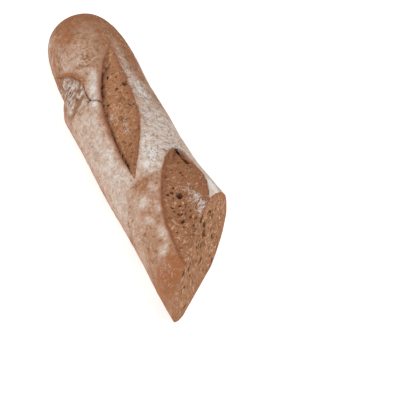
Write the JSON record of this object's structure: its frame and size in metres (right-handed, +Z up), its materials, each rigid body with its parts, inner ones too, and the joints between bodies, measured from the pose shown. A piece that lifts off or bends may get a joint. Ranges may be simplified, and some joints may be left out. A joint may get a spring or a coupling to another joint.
{
  "type": "country loaf",
  "caption": "Long floury country loaf with one rounded end, two oval slash openings across its crown and the other end cut off on the bias, lying on a flat base.",
  "frame": {"origin": "middle of the bounding box, on the surface that the loaf lies on", "axes": "+X along the loaf from the round end to the cut end, +Y across it towards the side where the second slash opens into a flap, +Z up"},
  "size_m": [0.3412, 0.0802, 0.0584],
  "materials": {
    "crust": "matte baked crust, pinkish brown and thinly floured, over a porous tan crumb where it is slashed and cut"
  },
  "bodies": {
    "root": {"loaf": "crust"}
  },
  "joints": []
}
